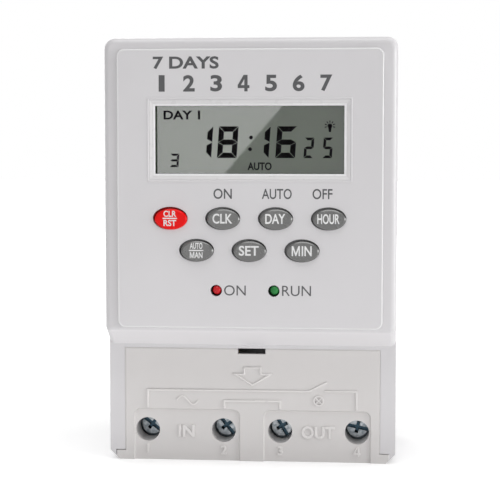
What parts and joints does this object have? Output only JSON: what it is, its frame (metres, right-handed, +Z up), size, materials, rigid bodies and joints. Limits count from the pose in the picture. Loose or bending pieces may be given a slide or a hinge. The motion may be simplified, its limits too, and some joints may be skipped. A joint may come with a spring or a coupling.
{
  "type": "timer switch",
  "caption": "Electronic weekly timer switch for rail or wall, with display, oval keys, lamps, a sliding terminal cover, clamping screws and a sprung rail clip.",
  "frame": {"origin": "centre line of the rail, on the back plane, at the middle of the width", "axes": "+Z up, +Y back to the wall, front faces -Y, +X to the right seen from the front"},
  "size_m": [0.0828, 0.0529, 0.1215],
  "materials": {
    "housing": "fine moulded grain",
    "cover": "fine moulded grain",
    "window": "clear polycarbonate",
    "display": "reflective display film",
    "white_plastic": "moulded",
    "rubber": "moulded silicone",
    "board": "solder mask",
    "steel": "bright zinc",
    "bar_metal": "nickel-plated brass",
    "black_plastic": "moulded",
    "grey_plastic": "flat cable jacket",
    "relay_case": "moulded",
    "yellow_plastic": "cast case",
    "blue_plastic": "dipped coating",
    "green_plastic": "shrink sleeve",
    "red_key": "moulded silicone",
    "grey_key": "moulded silicone",
    "red_lamp": "tinted clear",
    "green_lamp": "tinted clear",
    "clip_plastic": "moulded"
  },
  "bodies": {
    "housing": {"front_case": "housing", "rear_case": "housing", "lcd_window": "window", "lcd_glass": "display", "lcd_frame": "white_plastic", "zebra_strip": "rubber", "keypad_mat": "rubber", "display_board": "board", "display_board_screws": "steel", "controller_chip": "black_plastic", "crystal": "steel", "led_power": "red_lamp", "led_run": "green_lamp", "ribbon_cable": "grey_plastic", "power_board": "board", "power_board_screws": "steel", "relay": "relay_case", "film_capacitor": "yellow_plastic", "electrolytic_capacitors": "black_plastic", "varistor": "blue_plastic", "rectifier_diodes": "black_plastic", "resistors": "blue_plastic", "backup_battery": "green_plastic", "battery_tabs": "steel", "line_bar": "bar_metal", "neutral_bar": "bar_metal", "load_bar": "bar_metal", "housing_screws": "steel", "rail_clip_spring": "clip_plastic"},
    "key_reset": {"key_reset": "red_key", "key_reset_pill": "rubber"},
    "key_clock": {"key_clock": "grey_key", "key_clock_pill": "rubber"},
    "key_day": {"key_day": "grey_key", "key_day_pill": "rubber"},
    "key_hour": {"key_hour": "grey_key", "key_hour_pill": "rubber"},
    "key_mode": {"key_mode": "grey_key", "key_mode_pill": "rubber"},
    "key_program": {"key_program": "grey_key", "key_program_pill": "rubber"},
    "key_minute": {"key_minute": "grey_key", "key_minute_pill": "rubber"},
    "cover": {"terminal_cover": "cover"},
    "wire_clamp_1": {"wire_clamp_1": "steel"},
    "terminal_screw_1": {"terminal_screw_1": "steel"},
    "wire_clamp_2": {"wire_clamp_2": "steel"},
    "terminal_screw_2": {"terminal_screw_2": "steel"},
    "wire_clamp_3": {"wire_clamp_3": "steel"},
    "terminal_screw_3": {"terminal_screw_3": "steel"},
    "wire_clamp_4": {"wire_clamp_4": "steel"},
    "terminal_screw_4": {"terminal_screw_4": "steel"},
    "rail_clip": {"rail_clip": "clip_plastic"}
  },
  "joints": [
    {"name": "key_reset_press", "type": "slide", "parent": "housing", "child": "key_reset", "axis": [0, 1, 0], "range_m": [0, 0.0009], "stiffness_N_per_m": 1200},
    {"name": "key_clock_press", "type": "slide", "parent": "housing", "child": "key_clock", "axis": [0, 1, 0], "range_m": [0, 0.0009], "stiffness_N_per_m": 1200},
    {"name": "key_day_press", "type": "slide", "parent": "housing", "child": "key_day", "axis": [0, 1, 0], "range_m": [0, 0.0009], "stiffness_N_per_m": 1200},
    {"name": "key_hour_press", "type": "slide", "parent": "housing", "child": "key_hour", "axis": [0, 1, 0], "range_m": [0, 0.0009], "stiffness_N_per_m": 1200},
    {"name": "key_mode_press", "type": "slide", "parent": "housing", "child": "key_mode", "axis": [0, 1, 0], "range_m": [0, 0.0009], "stiffness_N_per_m": 1200},
    {"name": "key_program_press", "type": "slide", "parent": "housing", "child": "key_program", "axis": [0, 1, 0], "range_m": [0, 0.0009], "stiffness_N_per_m": 1200},
    {"name": "key_minute_press", "type": "slide", "parent": "housing", "child": "key_minute", "axis": [0, 1, 0], "range_m": [0, 0.0009], "stiffness_N_per_m": 1200},
    {"name": "cover_slide", "type": "slide", "parent": "housing", "child": "cover", "axis": [0, 0, -1], "range_m": [0, 0.034]},
    {"name": "clamp_lift_1", "type": "slide", "parent": "housing", "child": "wire_clamp_1", "axis": [0, -1, 0], "range_m": [0, 0.0021]},
    {"name": "screw_turn_1", "type": "hinge", "parent": "wire_clamp_1", "child": "terminal_screw_1", "pos_m": [-0.03037, -0.0345, -0.05204], "axis": [0, -1, 0], "range_deg": [0, 1080]},
    {"name": "clamp_lift_2", "type": "slide", "parent": "housing", "child": "wire_clamp_2", "axis": [0, -1, 0], "range_m": [0, 0.0021]},
    {"name": "screw_turn_2", "type": "hinge", "parent": "wire_clamp_2", "child": "terminal_screw_2", "pos_m": [-0.00819, -0.0345, -0.05204], "axis": [0, -1, 0], "range_deg": [0, 1080]},
    {"name": "clamp_lift_3", "type": "slide", "parent": "housing", "child": "wire_clamp_3", "axis": [0, -1, 0], "range_m": [0, 0.0021]},
    {"name": "screw_turn_3", "type": "hinge", "parent": "wire_clamp_3", "child": "terminal_screw_3", "pos_m": [0.00819, -0.0345, -0.05204], "axis": [0, -1, 0], "range_deg": [0, 1080]},
    {"name": "clamp_lift_4", "type": "slide", "parent": "housing", "child": "wire_clamp_4", "axis": [0, -1, 0], "range_m": [0, 0.0021]},
    {"name": "screw_turn_4", "type": "hinge", "parent": "wire_clamp_4", "child": "terminal_screw_4", "pos_m": [0.03037, -0.0345, -0.05204], "axis": [0, -1, 0], "range_deg": [0, 1080]},
    {"name": "clip_pull", "type": "slide", "parent": "housing", "child": "rail_clip", "axis": [0, 0, -1], "range_m": [0, 0.0045], "stiffness_N_per_m": 600, "springref_m": -0.002, "deforming": ["rail_clip_spring"]}
  ],
  "couplings": [
    {"joint": "screw_turn_1", "follows": "clamp_lift_1", "rad_per_m": 8976},
    {"joint": "screw_turn_2", "follows": "clamp_lift_2", "rad_per_m": 8976},
    {"joint": "screw_turn_3", "follows": "clamp_lift_3", "rad_per_m": 8976},
    {"joint": "screw_turn_4", "follows": "clamp_lift_4", "rad_per_m": 8976}
  ]
}
